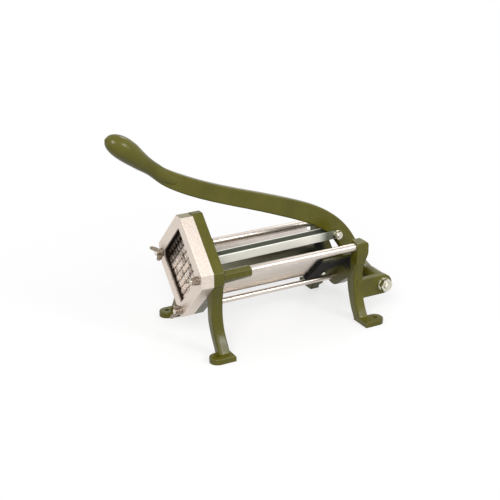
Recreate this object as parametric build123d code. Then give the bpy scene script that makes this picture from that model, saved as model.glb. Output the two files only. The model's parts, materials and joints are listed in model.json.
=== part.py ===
"""Lever-operated french fry cutter: two cast frames on three tie rods, a crossed blade grid,
a fingered pusher in a V trough, and a long hand lever that drives the pusher through two link bars.

Millimetres, +Z up.  Origin: centre of the four bench-screw holes, on the surface the feet stand on.
+X runs from the blade end to the lever pivot.  The near side is -Y and the far side +Y.
"""
from build123d import *
from math import atan2, cos, degrees, radians, sin, sqrt
import os

# ---------------------------------------------------------------- driving dimensions (mm)
# feet and bench screws
HOLE_SPACING_X = 245.0
HOLE_SPACING_Y = 160.0
BENCH_HOLE_D = 6.5
FOOT_RADIUS = 11.2
FOOT_THICKNESS = 8.0
FOOT_EDGE_FILLET = 1.8
FRONT_HOLE_LEAD = 3.25          # front holes lie this far ahead of the front casting's face
FRONT_FOOT_TAIL = 3.0           # front feet reach this far behind the casting
REAR_FOOT_SPREAD = 10.0         # the rear feet reach this far inwards under their legs
LEG_FILLET = 2.0
LEG_FRONT_ROUND = 4.0           # larger rounding of the legs' front outer edge

# cutting grid
CELL = 9.525                    # 3/8 inch fries
CELLS = 8                       # cells along each side of the square grid
BLADE_THICKNESS = 0.6
BLADE_DEPTH = 6.0
BLADE_LAYER_GAP = 0.2
BLADE_BACK_SETBACK = 1.3        # rear blades lie this far inside the back of their frame
BLADE_SEAT = 5.0                # length of blade held in the frame's slots, each end

# square frames, standing on a corner
CENTRE_HEIGHT = 108.3           # middle of the grid and axis of the side tie rods
BLADE_FRAME_DEPTH = 17.8
FRONT_FRAME_DEPTH = 15.6
BLADE_FRAME_WALL = 16.2         # upper half, from the opening to the outside
BLADE_FRAME_LOWER_WALL = 15.6
FRONT_FRAME_WALL = 15.5
TOP_HALF_WIDTH = 7.0            # half width of the blade frame's flat top
FRONT_TOP_HALF_WIDTH = 4.75
BOTTOM_HALF_WIDTH = 2.0
SIDE_HALF_HEIGHT = 9.9          # half height of the blade frame's upright side faces
SIDE_BLOCK_DROP = 8.7           # underside of the blade frame's side blocks, below centre
OPENING_SIDE_INSET = 4.4        # the opening's side corners are cut off beside the rods
OPENING_CORNER_CUT = 0.8
FRONT_OPENING_EASE = 0.3        # the front casting's opening is this much larger all round
FRAME_CORNER_ROUND = 2.0
FRAME_EDGE_FILLET = 1.6

# tie rods
ROD_OPENING_GAP = 0.25          # between the opening's cut-off corners and the side rods
SIDE_ROD_D = 11.1
BOTTOM_ROD_D = 8.0
BOTTOM_ROD_RISE = 9.7           # bottom rod's axis above the frames' flat bottom
STUD_D = 6.35                   # reduced, threaded front ends
STUD_PAST_BLADE_FRAME = 10.5
ROD_SHOULDER = 4.0              # the rods' shoulders lie this far behind the casting's front face
SLEEVE_LENGTH = 41.4
SLEEVE_INNER_STEP = 0.8         # the sleeves' inner face lies this far inside the opening's cut
SLEEVE_TAPER = 2.4              # the sleeves' underside is this much lower at the ring
SLEEVE_TROUGH_GAP = 0.3
ROD_SEAT_DEPTH = 14.0
CASTING_GAP = 204.7             # clear distance between the two castings
END_SCREW_D = 6.0
END_SCREW_HEAD_D = 10.0
END_SCREW_HEAD_H = 2.5
END_SCREW_DEPTH = 12.0          # how far the end screws go into the side rods

# rear casting
REAR_PLATE_DEPTH = 14.1
REAR_HOLE_LAG = 21.45           # rear holes lie this far behind the rear casting's front face
POST_WIDTH = 15.0
POST_TOP_RISE = 8.6             # inner top corner, above the rod axis
POST_OUTER_RISE = 5.0           # outer top corner, above the rod axis
POST_BOSS_DROP = 7.3            # the post keeps its full depth down to this far below the rod axis
POST_BLEND = 18.0               # height of the S-curve from there to the plate's depth
POST_BOSS_DEPTH = 18.2
POST_BACK_ROUND = 7.0
CROSSBAR_DROP = 11.3            # the crossbar's lowest edge, below the bottom rod's axis
ARCH_RISE = 25.0                # the crossbar's underside rises this much towards the legs
ARCH_END_INSET = 6.8            # and ends this far inside the posts
CRADLE_LENGTH = 45.0
CRADLE_WALL = 5.0
CRADLE_TOP_DROP = 10.3          # below the rod axis
CRADLE_ROD_GAP = 0.5            # between the cradle's flat underside and the bottom rod
EAR_INSET = 2.4                 # the ears' inner faces lie this far outside the posts' inner faces
EAR_THICKNESS = 9.8
EAR_RADIUS = 14.3
EAR_DROP = 1.2                  # the ear's round end is centred this far below the pivot

# trough
SHEET = 1.2
TROUGH_TOP_DROP = 4.3           # below the rod axis
TROUGH_FOLD_RADIUS = 4.0
TROUGH_FRONT_SEAT = 3.0         # the trough's front end sits in a groove this deep
TROUGH_END_GAP = 13.3           # between the trough's rear end and the rear casting's plate
RIVET_D = 4.0
RIVET_HEAD_D = 7.0
RIVET_TAIL_H = 2.0
RIVET_Y = 12.5
RIVET_INSET = 9.2               # from the trough's rear end

# pusher
PUSHER_CLEARANCE = 0.4          # to the trough wall, square to the wall
PUSHER_REST_GAP = 0.3           # plate behind the blade frame, lever fully down
PUSHER_PLATE = 8.0
PUSHER_SIDE_CLEARANCE = 0.5     # to the sleeves' inner faces
PUSHER_CORNER_CUT = 2.5
FINGER_CLEARANCE = 0.45
FINGER_REACH = 13.1             # fingers stand this far ahead of the plate
FINGER_TIP = 1.6
FINGER_TIP_INSET = 1.1
FLANGE_WIDTH = 30.0
FLANGE_ABOVE_PIN = 36.5
FLANGE_BELOW_PIN = 23.0
FLANGE_THICKNESS = 3.0
LUG_THICKNESS = 11.0
LUG_LENGTH = 19.6
LUG_ABOVE_PIN = 26.5
LUG_BELOW_PIN = 11.0
PIN_SLOT_HALF_WIDTH = 6.2
PIN_SLOT_RISE = 20.0            # the pin climbs in this slot as the lever swings
PIN_SLOT_DROP = 1.0
FLANGE_SCREW_Y = 10.2
FLANGE_SCREW_ABOVE = 31.0        # above the pin, clear of the link bars at the top of the slot
FLANGE_SCREW_BELOW = 17.0
FLANGE_SCREW_D = 5.0
FLANGE_SCREW_HEAD_D = 8.5
FLANGE_SCREW_HEAD_H = 2.8
FLANGE_SCREW_DEPTH = 6.0

# lever and linkage
PIVOT_BEHIND_REAR_FACE = 47.2
PIVOT_DROP = 62.8               # below the rod axis
LEVER_THICKNESS = 12.0
LEVER_FILLET = 2.4
HUB_RADIUS = 12.6
HUB_SIDE_GAP = 0.3
YOKE_DEPTH = 10.0
YOKE_SHOULDER_RISE = 16.0       # where the yoke's shoulders leave the lever, above the pivot
YOKE_END_Y = 34.0
YOKE_END_RISE = 8.0
NIB_D = 4.6                     # small round nib at the grip's end
NIB_LENGTH = 1.4
PIVOT_BOLT_D = 9.5
BUSHING_OUTER_D = 13.5
BUSHING_LENGTH = 16.0
HUB_RELIEF = 0.8                # radial, around the bolt between the bushings
RUNNING_CLEARANCE = 0.05        # radial, shafts in bores
LINK_PIN_BEHIND_FRONT_FACE = 20.0
LINK_BOLT_AHEAD_OF_PIVOT = 46.7
LINK_BOLT_ABOVE_PIVOT = 65.6
LINK_BOLT_D = 6.4
LINK_PIN_D = 8.0
LINK_BOSS_RADIUS = 8.5
LINK_BAR_HEIGHT = 12.0
LINK_BAR_THICKNESS = 3.0
LINK_BAR_INNER_Y = 6.5
LINK_PIN_PAST_CLIP = 1.5
CLIP_THICKNESS = 1.0
CLIP_RADIUS = 5.9
CLIP_GROOVE_RADIUS = 3.2

# lever centre line from the pivot: (ahead of the pivot, above the pivot, width of the flat bar)
LEVER_LINE = [(0.0, 0.0, 25.0), (10.5, 20.0, 25.0), (22.0, 42.0, 25.0), (33.6, 60.0, 25.4), (49.5, 77.3, 25.8),
              (72.0, 93.4, 26.4), (98.0, 106.4, 26.4), (130.0, 119.2, 25.8), (163.5, 131.6, 24.8),
              (208.5, 147.4, 23.8), (252.0, 164.2, 23.2), (287.1, 180.7, 22.2), (300.8, 188.6, 20.8),
              (314.3, 199.0, 18.4)]
# grip centre line from the pivot: (ahead of the pivot, above the pivot, diameter)
GRIP_LINE = [(287.0, 180.9, 11.0), (294.0, 184.7, 16.6), (303.5, 190.4, 19.0), (314.1, 199.0, 19.4),
             (321.2, 204.8, 19.4), (328.3, 210.3, 21.0), (335.0, 215.9, 23.4), (341.4, 221.7, 25.8),
             (347.3, 227.1, 28.0), (353.5, 232.4, 29.0), (360.3, 237.8, 28.6), (367.3, 242.8, 25.4),
             (372.8, 246.2, 20.2), (376.4, 248.2, 13.6), (378.0, 249.1, 5.6)]

# nuts, bolts and wing nuts
WASHER_THICKNESS = 1.4
PIVOT_NUT_AF = 16.0             # across flats
PIVOT_NUT_H = 8.0
PIVOT_BOLT_END = 3.0            # thread past its nut
LINK_NUT_AF = 11.0
LINK_NUT_H = 5.0
LINK_BOLT_END = 1.0
LINK_WASHER_THICKNESS = 1.1
ROD_NUT_AF = 13.0
ROD_NUT_H = 6.5
ROD_END_PAST_NUT = 2.5
WING_SEAT_GAP = 0.25
WING_HUB_RADIUS = 5.8
WING_HUB_TOP_RADIUS = 4.7
WING_HUB_HEIGHT = 8.0
WING_THICKNESS = 2.6
WING_TIP_ROUND = 1.9
WING_OUTLINE = [(2.0, 0.8), (6.5, 1.6), (11.5, 5.0), (14.6, 10.0), (13.6, 13.8), (9.6, 12.4), (2.0, 6.6)]
WING_TURN = {"near": 158.0, "far": 20.0, "bottom": 120.0}   # degrees round the rod, at rest

# ---------------------------------------------------------------- places worked out from them
# reaches run from the grid centre to a square's corner before it is cut off
HALF_OPENING = CELLS * CELL / sqrt(2)
BLADE_FRAME_REACH = HALF_OPENING + BLADE_FRAME_WALL * sqrt(2)
BLADE_FRAME_LOWER_REACH = HALF_OPENING + BLADE_FRAME_LOWER_WALL * sqrt(2)
FRONT_FRAME_REACH = HALF_OPENING + FRONT_FRAME_WALL * sqrt(2)
TOP_FLAT_RISE = BLADE_FRAME_REACH - TOP_HALF_WIDTH
BOTTOM_FLAT_DROP = BLADE_FRAME_LOWER_REACH - BOTTOM_HALF_WIDTH
SIDE_FLAT_Y = BLADE_FRAME_REACH - SIDE_HALF_HEIGHT
FRONT_SIDE_FLAT_Y = min(SIDE_FLAT_Y, FRONT_FRAME_REACH - SIDE_HALF_HEIGHT / 2)
FRONT_BOTTOM_DROP = min(BOTTOM_FLAT_DROP, FRONT_FRAME_REACH - BOTTOM_HALF_WIDTH)
OPENING_SIDE_CUT = HALF_OPENING - OPENING_SIDE_INSET
ROD_Y = OPENING_SIDE_CUT + ROD_OPENING_GAP + SIDE_ROD_D / 2
SLEEVE_INNER_FLAT = OPENING_SIDE_CUT - SLEEVE_INNER_STEP
PUSHER_SIDE_CUT = SLEEVE_INNER_FLAT - PUSHER_SIDE_CLEARANCE
POST_INNER_Y = ROD_Y - POST_WIDTH / 2
POST_OUTER_Y = ROD_Y + POST_WIDTH / 2
EAR_INNER_Y = POST_INNER_Y + EAR_INSET
EAR_OUTER_Y = EAR_INNER_Y + EAR_THICKNESS
HOLE_Y = HOLE_SPACING_Y / 2
FRONT_HOLE_X = -HOLE_SPACING_X / 2
FRONT_FACE_X = FRONT_HOLE_X + FRONT_HOLE_LEAD
FRONT_BACK_X = FRONT_FACE_X + FRONT_FRAME_DEPTH
BLADE_FACE_X = FRONT_FACE_X - BLADE_FRAME_DEPTH
REAR_FACE_X = FRONT_BACK_X + CASTING_GAP
REAR_BACK_X = REAR_FACE_X + REAR_PLATE_DEPTH
REAR_HOLE_X = REAR_FACE_X + REAR_HOLE_LAG
BOTTOM_ROD_Z = CENTRE_HEIGHT - BOTTOM_FLAT_DROP + BOTTOM_ROD_RISE
CROSSBAR_BOTTOM_Z = BOTTOM_ROD_Z - CROSSBAR_DROP
TROUGH_REACH = HALF_OPENING + SHEET * sqrt(2)   # outside of the sheet
TROUGH_START_X = FRONT_BACK_X - TROUGH_FRONT_SEAT
TROUGH_END_X = REAR_FACE_X - TROUGH_END_GAP
CRADLE_REACH = TROUGH_REACH + CRADLE_WALL * sqrt(2)
PIVOT_Z = CENTRE_HEIGHT - PIVOT_DROP
PIVOT_X = REAR_FACE_X + PIVOT_BEHIND_REAR_FACE
LINK_BOLT_X = PIVOT_X - LINK_BOLT_AHEAD_OF_PIVOT
LINK_BOLT_Z = PIVOT_Z + LINK_BOLT_ABOVE_PIVOT
LINK_PIN_X = FRONT_FACE_X + LINK_PIN_BEHIND_FRONT_FACE
LINK_BAR_OUTER_Y = LINK_BAR_INNER_Y + LINK_BAR_THICKNESS
PLATE_FRONT_X = FRONT_FACE_X + PUSHER_REST_GAP
PLATE_BACK_X = PLATE_FRONT_X + PUSHER_PLATE

# colours for plain views
GREEN = Color(0.40, 0.42, 0.20)
SILVER = Color(0.80, 0.79, 0.76)
STEEL = Color(0.66, 0.67, 0.69)
ZINC = Color(0.80, 0.79, 0.66)
BRONZE = Color(0.66, 0.50, 0.28)

parts = {}


# ---------------------------------------------------------------- helpers
def keep(name, shape, colour):
    """Files a finished piece under its node name."""
    shape.label = name
    shape.color = colour
    parts[name] = shape


def facing_x(x):
    """Plane across the machine: local axes +Y and +Z, normal +X."""
    return Plane(origin=(x, 0, 0), x_dir=(0, 1, 0), z_dir=(1, 0, 0))


def facing_y(y):
    """Plane along the machine: local axes +X and +Z, normal -Y."""
    return Plane(origin=(0, y, 0), x_dir=(1, 0, 0), z_dir=(0, -1, 0))


def polygon(*points):
    """Face inside a closed run of straight lines."""
    return make_face(Polyline(*points, close=True))


def prism(plane, outline, depth):
    """Solid of an outline drawn on a plane, extruded along the plane's normal."""
    return extrude(plane * outline, amount=depth, dir=plane.z_dir)


def rod_x(x0, x1, y, z, radius):
    """Round bar along X."""
    return prism(facing_x(x0), Pos(y, z) * Circle(radius), x1 - x0)


def rod_y(y0, y1, x, z, radius):
    """Round bar along Y."""
    return prism(facing_y(y1), Pos(x, z) * Circle(radius), y1 - y0)


def hexagon(across_flats):
    return RegularPolygon(across_flats / 2, 6, major_radius=False)


def both_sides(shape):
    """The shape and its mirror image across the centre plane."""
    return [shape, mirror(shape, about=Plane.XZ)]


def fuse_all(first, others):
    for other in others:
        first += other
    return first


def cut_all(body, cutters):
    for cutter in cutters:
        body -= cutter
    return body


def square_on_corner(reach, side_cut, top_cut, bottom_cut):
    """Square standing on a corner about the grid centre, its corners cut off at the given distances."""
    z0 = CENTRE_HEIGHT
    top, side, bottom = reach - top_cut, reach - side_cut, reach - bottom_cut
    return polygon((top, z0 + top_cut), (side_cut, z0 + side), (side_cut, z0 - side), (bottom, z0 - bottom_cut),
                   (-bottom, z0 - bottom_cut), (-side_cut, z0 - side), (-side_cut, z0 + side), (-top, z0 + top_cut))


def grid_opening(ease=0.0):
    """The frames' square opening, its side corners cut off beside the rods."""
    reach = HALF_OPENING + ease * sqrt(2)
    corner = reach - OPENING_CORNER_CUT
    return square_on_corner(reach, OPENING_SIDE_CUT + ease, corner, corner)


def v_section(outer_reach, inner_reach, z_top):
    """Cross-section of a V channel below the grid centre, between two virtual corners."""
    drop = CENTRE_HEIGHT - z_top
    outer_y, inner_y = outer_reach - drop, inner_reach - drop
    return polygon((outer_y, z_top), (0, CENTRE_HEIGHT - outer_reach), (-outer_y, z_top),
                   (-inner_y, z_top), (0, CENTRE_HEIGHT - inner_reach), (inner_y, z_top))


def leg(stations, x0, depth):
    """Cast leg on the far side with rounded long edges, from stations, top first.

    A station is (share of the way from the rod's axis out to the bench hole, share of the centre height, width).
    """
    places = [(ROD_Y + out * (HOLE_Y - ROD_Y), up * CENTRE_HEIGHT, width) for out, up, width in stations]
    outer = [(y + width / 2, z) for y, z, width in places]
    inner = [(y - width / 2, z) for y, z, width in reversed(places)]
    outline = make_face([Spline(*outer), Line(outer[-1], inner[0]), Spline(*inner), Line(inner[-1], outer[0])])
    body = prism(facing_x(x0), outline, depth)
    long_edges = body.edges().filter_by(GeomType.BSPLINE)
    front_outer = long_edges.sort_by(Axis.X)[:2].sort_by(Axis.Y)[-1]
    body = fillet([edge for edge in long_edges if edge is not front_outer], LEG_FILLET)
    curved = body.edges().filter_by(GeomType.BSPLINE).sort_by(Axis.X)
    front_outer = curved[:2].sort_by(Axis.Y)[-1]
    return fillet(front_outer, LEG_FRONT_ROUND)


def foot(hole_x, square_end_x, spread, spread_depth):
    """Foot pad, round about its bench hole, with the top edge rounded; it spreads inwards under its leg."""
    length = square_end_x - hole_x
    outline = Pos(hole_x, HOLE_Y) * Circle(FOOT_RADIUS)
    outline += Pos(hole_x + length / 2, HOLE_Y) * Rectangle(abs(length), 2 * FOOT_RADIUS)
    if spread:
        outline += Pos(square_end_x + spread_depth / 2, HOLE_Y - spread / 2) * Rectangle(spread_depth, 2 * FOOT_RADIUS + spread)
    pad = extrude(outline, amount=FOOT_THICKNESS)
    return fillet(pad.faces().sort_by(Axis.Z)[-1].outer_wire().edges(), FOOT_EDGE_FILLET)


def bench_hole(hole_x):
    return Pos(hole_x, HOLE_Y, 0) * Cylinder(BENCH_HOLE_D / 2, 4 * FOOT_THICKNESS)


# ---------------------------------------------------------------- cutting grid
def blade_strip(x0, depth, turn, offset, length):
    """Strip across the opening; turn is its slope in degrees, offset its distance from the centre."""
    place = Pos(x0 + depth / 2, 0, CENTRE_HEIGHT) * Rot(turn, 0, 0) * Pos(0, 0, offset)
    return place * Box(depth, length, BLADE_THICKNESS)


def blade_set(x0, depth, turn):
    """One layer of parallel strips, one between each two rows of cells."""
    length = CELLS * CELL + 2 * BLADE_SEAT
    offsets = [(i - (CELLS - 2) / 2) * CELL for i in range(CELLS - 1)]
    return [blade_strip(x0, depth, turn, offset, length) for offset in offsets]


REAR_LAYER_X = FRONT_FACE_X - BLADE_BACK_SETBACK - BLADE_DEPTH
FRONT_LAYER_X = REAR_LAYER_X - BLADE_LAYER_GAP - BLADE_DEPTH


def make_blade_frame():
    """Cast square frame with slots from its back face that hold the blade ends."""
    z0, side = CENTRE_HEIGHT, SIDE_FLAT_Y
    top_y = BLADE_FRAME_REACH - TOP_FLAT_RISE
    low_y = BLADE_FRAME_LOWER_REACH - BOTTOM_FLAT_DROP
    under_y = BLADE_FRAME_LOWER_REACH - SIDE_BLOCK_DROP - 4.0
    half = [(top_y, z0 + TOP_FLAT_RISE), (side, z0 + BLADE_FRAME_REACH - side), (side, z0 - SIDE_BLOCK_DROP),
            (under_y, z0 - SIDE_BLOCK_DROP - 4.0), (low_y, z0 - BOTTOM_FLAT_DROP)]
    outline = polygon(*half, *[(-y, z) for y, z in reversed(half)])
    outline = fillet(outline.vertices(), 1.2)
    frame = prism(facing_x(BLADE_FACE_X), outline, BLADE_FRAME_DEPTH)
    frame = fillet(frame.faces().sort_by(Axis.X)[0].outer_wire().edges(), 0.9)
    frame -= prism(facing_x(BLADE_FACE_X - 1), grid_opening(), BLADE_FRAME_DEPTH + 2)
    slots = blade_set(FRONT_LAYER_X, FRONT_FACE_X - FRONT_LAYER_X, 45)
    slots += blade_set(REAR_LAYER_X, FRONT_FACE_X - REAR_LAYER_X, -45)
    studs = both_sides(rod_x(BLADE_FACE_X - 1, FRONT_FACE_X + 1, ROD_Y, z0, STUD_D / 2))
    studs.append(rod_x(BLADE_FACE_X - 1, FRONT_FACE_X + 1, 0, BOTTOM_ROD_Z, STUD_D / 2))
    return frame - slots - studs


# ---------------------------------------------------------------- tie rods and trough
def make_side_rod(side):
    """Side tie rod with a threaded stud at the front and a tapped rear end."""
    y = side * ROD_Y
    x0 = FRONT_FACE_X + ROD_SHOULDER
    x1 = REAR_FACE_X + ROD_SEAT_DEPTH
    rod = rod_x(x0, x1, y, CENTRE_HEIGHT, SIDE_ROD_D / 2)
    rod += rod_x(BLADE_FACE_X - STUD_PAST_BLADE_FRAME, x0, y, CENTRE_HEIGHT, STUD_D / 2)
    rod = chamfer(rod.faces().sort_by(Axis.X)[0].edges(), 0.6)
    return rod - end_screw(side)


def make_bottom_rod():
    x0 = FRONT_FACE_X + ROD_SHOULDER
    x1 = REAR_BACK_X + WASHER_THICKNESS + ROD_NUT_H + ROD_END_PAST_NUT
    rod = rod_x(x0, x1, 0, BOTTOM_ROD_Z, BOTTOM_ROD_D / 2)
    rod += rod_x(BLADE_FACE_X - STUD_PAST_BLADE_FRAME, x0, 0, BOTTOM_ROD_Z, STUD_D / 2)
    return chamfer(rod.faces().sort_by(Axis.X)[0].edges() + rod.faces().sort_by(Axis.X)[-1].edges(), 0.6)


def end_screw(side):
    """Countersunk screw, flush in the back of a post, that holds a side rod."""
    back = REAR_FACE_X + POST_BOSS_DEPTH - 0.2
    place = Pos(back - END_SCREW_HEAD_H / 2, side * ROD_Y, CENTRE_HEIGHT) * Rot(0, 90, 0)
    head = place * Cone(END_SCREW_D / 2, END_SCREW_HEAD_D / 2, END_SCREW_HEAD_H)
    shank = rod_x(REAR_FACE_X + ROD_SEAT_DEPTH - END_SCREW_DEPTH, back - END_SCREW_HEAD_H / 2, side * ROD_Y,
                  CENTRE_HEIGHT, END_SCREW_D / 2)
    return head + shank


def rivet(side):
    """Rivet through the trough's wall and the cradle, flush inside, with a domed tail outside."""
    y = side * RIVET_Y
    z = CENTRE_HEIGHT - CRADLE_REACH + RIVET_Y
    outside = Plane(origin=(TROUGH_END_X - RIVET_INSET, y, z), x_dir=(1, 0, 0), z_dir=(0, side, -1))
    inside = outside.offset(-CRADLE_WALL - SHEET)
    head = prism(inside, Circle(RIVET_HEAD_D / 2), SHEET)
    shank = prism(inside, Circle(RIVET_D / 2), SHEET + CRADLE_WALL)
    tail = prism(outside, Circle(RIVET_HEAD_D / 2), RIVET_TAIL_H)
    tail = fillet(tail.faces().sort_by(Axis.Z)[0].edges(), 1.2)
    return head + shank + tail


def make_trough():
    """Folded V sheet below the grid's lower edges."""
    section = v_section(TROUGH_REACH, HALF_OPENING, CENTRE_HEIGHT - TROUGH_TOP_DROP)
    by_height = section.vertices().sort_by(Axis.Y)
    section = fillet(by_height[0], TROUGH_FOLD_RADIUS + SHEET)
    inner_fold = section.vertices().sort_by(lambda v: abs(v.X) + 10 * abs(v.Y - (CENTRE_HEIGHT - HALF_OPENING)))[0]
    section = fillet(inner_fold, TROUGH_FOLD_RADIUS)
    trough = prism(facing_x(TROUGH_START_X), section, TROUGH_END_X - TROUGH_START_X)
    return cut_all(trough, [rivet(1), rivet(-1)])


# ---------------------------------------------------------------- castings
def sleeve_section(drop):
    """Cross-section of the far side rod's sleeve; drop lowers its underside."""
    y, z = ROD_Y, CENTRE_HEIGHT
    section = polygon((SLEEVE_INNER_FLAT, z + 2.2), (y - 4.6, z + 5.2), (y + 1.0, z + 6.6), (y + 7.8, z + 3.9),
                      (y + 8.2, z - 4.0), (y + 4.4, z - 7.8 - drop), (SLEEVE_INNER_FLAT, z - 7.8 - drop))
    return fillet(section.vertices(), 1.2)


def make_sleeve():
    """Tapered sleeve round the far side rod, open beside the trough's top edge."""
    start, end = TROUGH_START_X, FRONT_BACK_X + SLEEVE_LENGTH
    sleeve = loft([facing_x(start) * sleeve_section(SLEEVE_TAPER), facing_x(end) * sleeve_section(0)], ruled=True)
    clear = TROUGH_REACH + SLEEVE_TROUGH_GAP * sqrt(2)
    top = TROUGH_TOP_DROP / 2
    trough_side = polygon((0, CENTRE_HEIGHT - top), (clear - top, CENTRE_HEIGHT - top), (0, CENTRE_HEIGHT - clear))
    return sleeve - prism(facing_x(FRONT_BACK_X), trough_side, SLEEVE_LENGTH + 1)


def make_front_frame(trough):
    outline = square_on_corner(FRONT_FRAME_REACH, FRONT_SIDE_FLAT_Y, FRONT_FRAME_REACH - FRONT_TOP_HALF_WIDTH,
                               FRONT_BOTTOM_DROP)
    outline = fillet(outline.vertices(), FRAME_CORNER_ROUND)
    ring = prism(facing_x(FRONT_FACE_X), outline, FRONT_FRAME_DEPTH)
    ring = fillet(ring.faces().sort_by(Axis.X)[-1].outer_wire().edges(), FRAME_EDGE_FILLET)

    stations = [(0.01, 0.908, 19.0), (-0.09, 0.742, 17.5), (-0.12, 0.554, 15.6), (-0.07, 0.416, 16.0),
                (0.14, 0.277, 15.8), (0.37, 0.185, 16.0), (0.62, 0.092, 16.2), (0.83, 0.0, 17.5)]
    front_leg = leg(stations, FRONT_FACE_X, FRONT_FRAME_DEPTH)
    front_foot = foot(FRONT_HOLE_X, FRONT_BACK_X + FRONT_FOOT_TAIL, 0, 0)

    frame = fuse_all(ring, both_sides(front_leg) + both_sides(front_foot) + both_sides(make_sleeve()))
    side_bore = rod_x(FRONT_FACE_X + ROD_SHOULDER, FRONT_BACK_X + SLEEVE_LENGTH + 1, ROD_Y, CENTRE_HEIGHT, SIDE_ROD_D / 2)
    side_stud = rod_x(FRONT_FACE_X - 1, FRONT_BACK_X, ROD_Y, CENTRE_HEIGHT, STUD_D / 2)
    cutters = [prism(facing_x(FRONT_FACE_X - 1), grid_opening(FRONT_OPENING_EASE), FRONT_FRAME_DEPTH + 2), trough,
               rod_x(FRONT_FACE_X + ROD_SHOULDER, FRONT_BACK_X + 1, 0, BOTTOM_ROD_Z, BOTTOM_ROD_D / 2),
               rod_x(FRONT_FACE_X - 1, FRONT_BACK_X, 0, BOTTOM_ROD_Z, STUD_D / 2)]
    return cut_all(frame, cutters + both_sides(side_bore) + both_sides(side_stud) + both_sides(bench_hole(FRONT_HOLE_X)))


def make_post():
    """Boss above the far rear leg that holds the side rod's end: deep and domed at the top, blending into the plate."""
    top, shoulder, foot_z = CENTRE_HEIGHT + POST_TOP_RISE, CENTRE_HEIGHT - POST_BOSS_DROP, CENTRE_HEIGHT - POST_BOSS_DROP - POST_BLEND
    back = REAR_FACE_X + POST_BOSS_DEPTH
    blend = Spline((back, shoulder), (REAR_BACK_X, foot_z), tangents=[(0, -1), (0, -1)])
    side_view = make_face([Polyline((REAR_FACE_X, foot_z), (REAR_FACE_X, top), (back, top), (back, shoulder)), blend,
                           Line((REAR_BACK_X, foot_z), (REAR_FACE_X, foot_z))])
    corner = side_view.vertices().sort_by(Axis.X)[-2:].sort_by(Axis.Y)[-1]
    side_view = fillet(corner, POST_BACK_ROUND)
    post = prism(facing_y(POST_OUTER_Y), side_view, POST_WIDTH)

    outer_top = CENTRE_HEIGHT + POST_OUTER_RISE
    flank = Spline((POST_OUTER_Y, shoulder), (POST_OUTER_Y - 1.6, foot_z), tangents=[(0, -1), (-0.16, -1)])
    crown = 0.6 * (POST_TOP_RISE - POST_OUTER_RISE)
    dome = Spline((POST_OUTER_Y, outer_top), (POST_OUTER_Y - 4.0, outer_top + crown), (POST_INNER_Y, top),
                  tangents=[(-0.1, 1), (-1, 0.1)])
    front_view = make_face([Line((POST_OUTER_Y, shoulder), (POST_OUTER_Y, outer_top)), dome,
                            Line((POST_INNER_Y, top), (POST_INNER_Y, foot_z)),
                            Line((POST_INNER_Y, foot_z), (POST_OUTER_Y - 1.6, foot_z)), flank])
    return post & prism(facing_x(REAR_FACE_X), front_view, POST_BOSS_DEPTH)


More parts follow.
